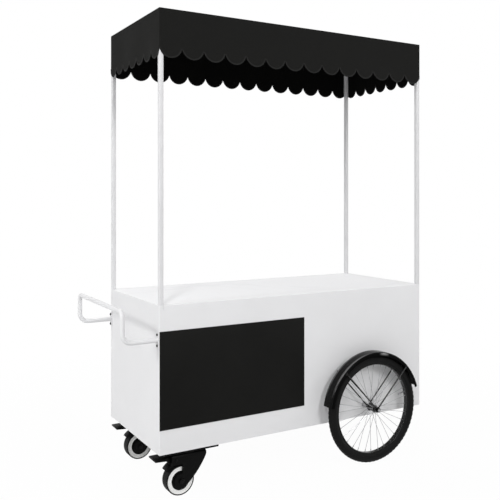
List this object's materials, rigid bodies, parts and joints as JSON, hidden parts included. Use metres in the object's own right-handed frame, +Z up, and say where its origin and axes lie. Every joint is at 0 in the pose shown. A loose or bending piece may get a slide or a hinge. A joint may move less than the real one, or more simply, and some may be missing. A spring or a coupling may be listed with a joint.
{
  "type": "vending cart",
  "caption": "White vending cart with a scalloped black canopy on corner poles, spoked wheels under mudguards, braked swivel casters, a tube push handle and doors at the back.",
  "frame": {"origin": "on the ground, under the middle of the cart's overall length and width", "axes": "+Z up, -Y towards the customers at the front with the black panel, +X towards the end with the spoked wheels, -X towards the push handle"},
  "size_m": [1.5642, 0.82, 2],
  "materials": {
    "white_paint": "satin",
    "white_panel": "satin",
    "marble_top": "faint grey veins, polished",
    "sign_black": "matt",
    "canopy_fabric": "woven, matt",
    "black_steel": "gloss",
    "zinc_steel": "zinc plated",
    "black_bolts": "black oxide",
    "spoke_steel": "polished",
    "hub_alloy": "satin",
    "rim_black": "black anodised, gloss",
    "tyre_rubber": "matt",
    "tube_rubber": "matt",
    "caster_tread": "matt",
    "caster_core": "gloss",
    "caster_cover": "matt",
    "floor_board": "white laminate on board",
    "door_board": "white laminate on board",
    "knob_black": "satin"
  },
  "bodies": {
    "cart": {"axle_brackets": "black_steel", "axle_nuts": "black_bolts", "back_panel": "white_panel", "cabinet_frame": "white_paint", "canopy_cover": "canopy_fabric", "canopy_frame": "white_paint", "caster_bolts": "zinc_steel", "caster_plates": "black_steel", "counter_top": "marble_top", "cross_axle": "zinc_steel", "fender_back": "black_steel", "fender_bolts": "black_bolts", "fender_front": "black_steel", "fender_stays_back": "black_steel", "fender_stays_front": "black_steel", "floor_panel": "floor_board", "front_panel": "white_panel", "handle_bolts": "black_bolts", "hinge_leaves": "zinc_steel", "left_end_panel": "white_panel", "pole_back_left": "white_paint", "pole_back_right": "white_paint", "pole_front_left": "white_paint", "pole_front_right": "white_paint", "push_handle": "white_paint", "right_end_panel": "white_panel", "sign_panel": "sign_black"},
    "front_wheel": {"wheel_front_hub": "hub_alloy", "wheel_front_hub_bearings": "zinc_steel", "wheel_front_inner_tube": "tube_rubber", "wheel_front_rim": "rim_black", "wheel_front_spokes": "spoke_steel", "wheel_front_tyre": "tyre_rubber"},
    "front_caster": {"caster_front_fork": "black_steel", "caster_front_axle": "black_bolts"},
    "front_caster_wheel": {"caster_front_tread": "caster_tread", "caster_front_core": "caster_core", "caster_front_bearings": "zinc_steel", "caster_front_covers": "caster_cover"},
    "front_brake": {"caster_front_pedal": "black_steel"},
    "back_wheel": {"wheel_back_hub": "hub_alloy", "wheel_back_hub_bearings": "zinc_steel", "wheel_back_inner_tube": "tube_rubber", "wheel_back_rim": "rim_black", "wheel_back_spokes": "spoke_steel", "wheel_back_tyre": "tyre_rubber"},
    "back_caster": {"caster_back_fork": "black_steel", "caster_back_axle": "black_bolts"},
    "back_caster_wheel": {"caster_back_tread": "caster_tread", "caster_back_core": "caster_core", "caster_back_bearings": "zinc_steel", "caster_back_covers": "caster_cover"},
    "back_brake": {"caster_back_pedal": "black_steel"},
    "left_door": {"door_left": "door_board", "door_left_hinges": "zinc_steel", "door_left_knob": "knob_black"},
    "right_door": {"door_right": "door_board", "door_right_hinges": "zinc_steel", "door_right_knob": "knob_black"}
  },
  "joints": [
    {"name": "front_wheel_spin", "type": "hinge", "parent": "cart", "child": "front_wheel", "pos_m": [0.4249, -0.361, 0.25], "axis": [0, 1, 0], "continuous": true},
    {"name": "front_caster_swivel", "type": "hinge", "parent": "cart", "child": "front_caster", "pos_m": [-0.4711, -0.233, 0.178], "axis": [0, 0, 1], "continuous": true},
    {"name": "front_caster_wheel_spin", "type": "hinge", "parent": "front_caster", "child": "front_caster_wheel", "pos_m": [-0.5091, -0.233, 0.0625], "axis": [0, 1, 0], "continuous": true},
    {"name": "front_brake_press", "type": "hinge", "parent": "front_caster", "child": "front_brake", "pos_m": [-0.5311, -0.233, 0.152], "axis": [0, -1, 0], "range_deg": [0, 10]},
    {"name": "back_wheel_spin", "type": "hinge", "parent": "cart", "child": "back_wheel", "pos_m": [0.4249, 0.361, 0.25], "axis": [0, 1, 0], "continuous": true},
    {"name": "back_caster_swivel", "type": "hinge", "parent": "cart", "child": "back_caster", "pos_m": [-0.4711, 0.233, 0.178], "axis": [0, 0, 1], "continuous": true},
    {"name": "back_caster_wheel_spin", "type": "hinge", "parent": "back_caster", "child": "back_caster_wheel", "pos_m": [-0.5091, 0.233, 0.0625], "axis": [0, 1, 0], "continuous": true},
    {"name": "back_brake_press", "type": "hinge", "parent": "back_caster", "child": "back_brake", "pos_m": [-0.5311, 0.233, 0.152], "axis": [0, -1, 0], "range_deg": [0, 10]},
    {"name": "left_door_swing", "type": "hinge", "parent": "cart", "child": "left_door", "pos_m": [-0.5786, 0.2995, 0.49], "axis": [0, 0, 1], "range_deg": [0, 110]},
    {"name": "right_door_swing", "type": "hinge", "parent": "cart", "child": "right_door", "pos_m": [0.0784, 0.2995, 0.49], "axis": [0, 0, -1], "range_deg": [0, 110]}
  ]
}
